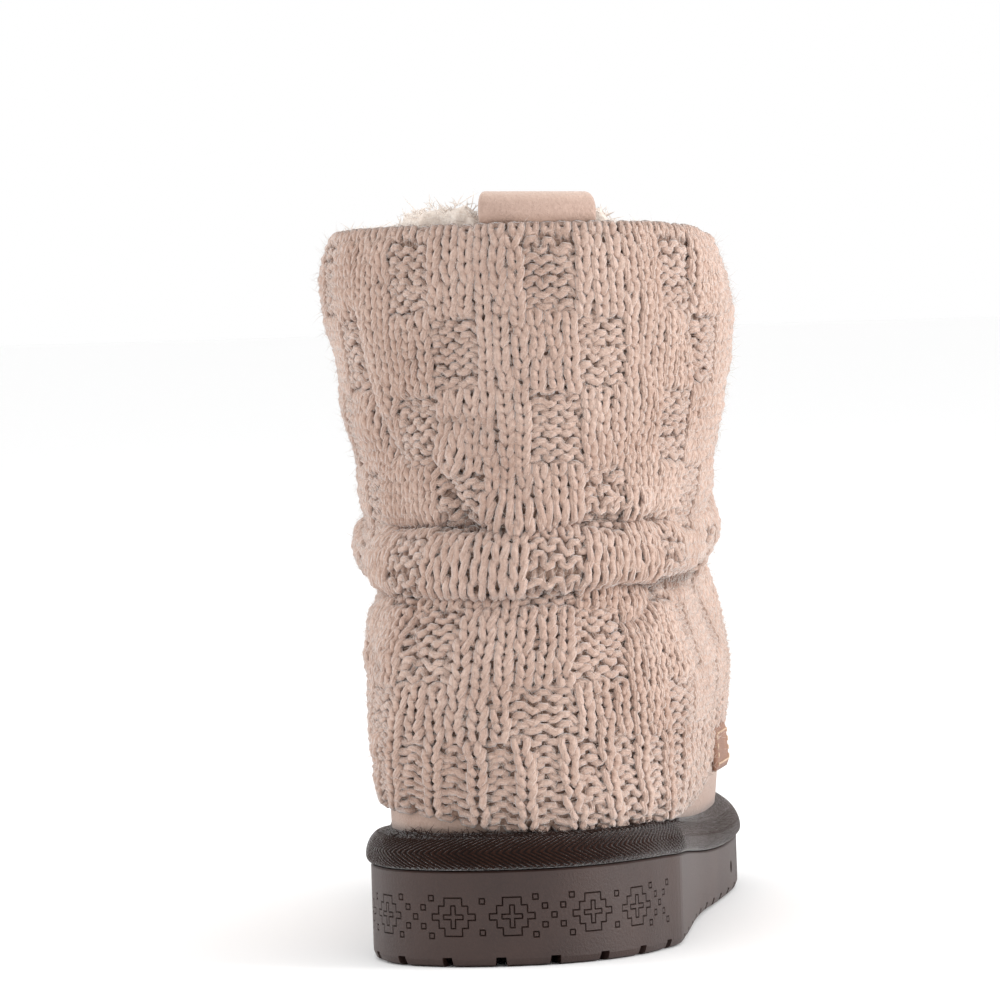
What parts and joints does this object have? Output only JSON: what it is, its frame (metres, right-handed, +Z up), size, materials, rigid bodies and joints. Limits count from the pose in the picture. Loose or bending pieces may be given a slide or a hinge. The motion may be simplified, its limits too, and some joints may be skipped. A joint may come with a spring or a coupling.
{
  "type": "boot",
  "caption": "Slouchy sweater-knit mukluk boot with a suede upper, a plush lining, a pull loop and a rubber platform sole.",
  "frame": {"origin": "middle of the boot's bounding box in plan, at the ground", "axes": "+Z up, +Y towards the toe, +X towards the little-toe side of a right foot"},
  "size_m": [0.1144, 0.274, 0.2088],
  "materials": {
    "outsole_rubber": "matt",
    "platform_tape": "matt",
    "fleece": "matt",
    "suede": "matt",
    "sweater_knit": "matt",
    "loop_suede": "matt",
    "tag_leather": "satin"
  },
  "bodies": {
    "root": {"outsole": "outsole_rubber", "midsole": "platform_tape", "insole": "fleece", "upper": "suede", "knit_sleeve": "sweater_knit", "pull_loop": "loop_suede", "side_tag": "tag_leather"}
  },
  "joints": []
}
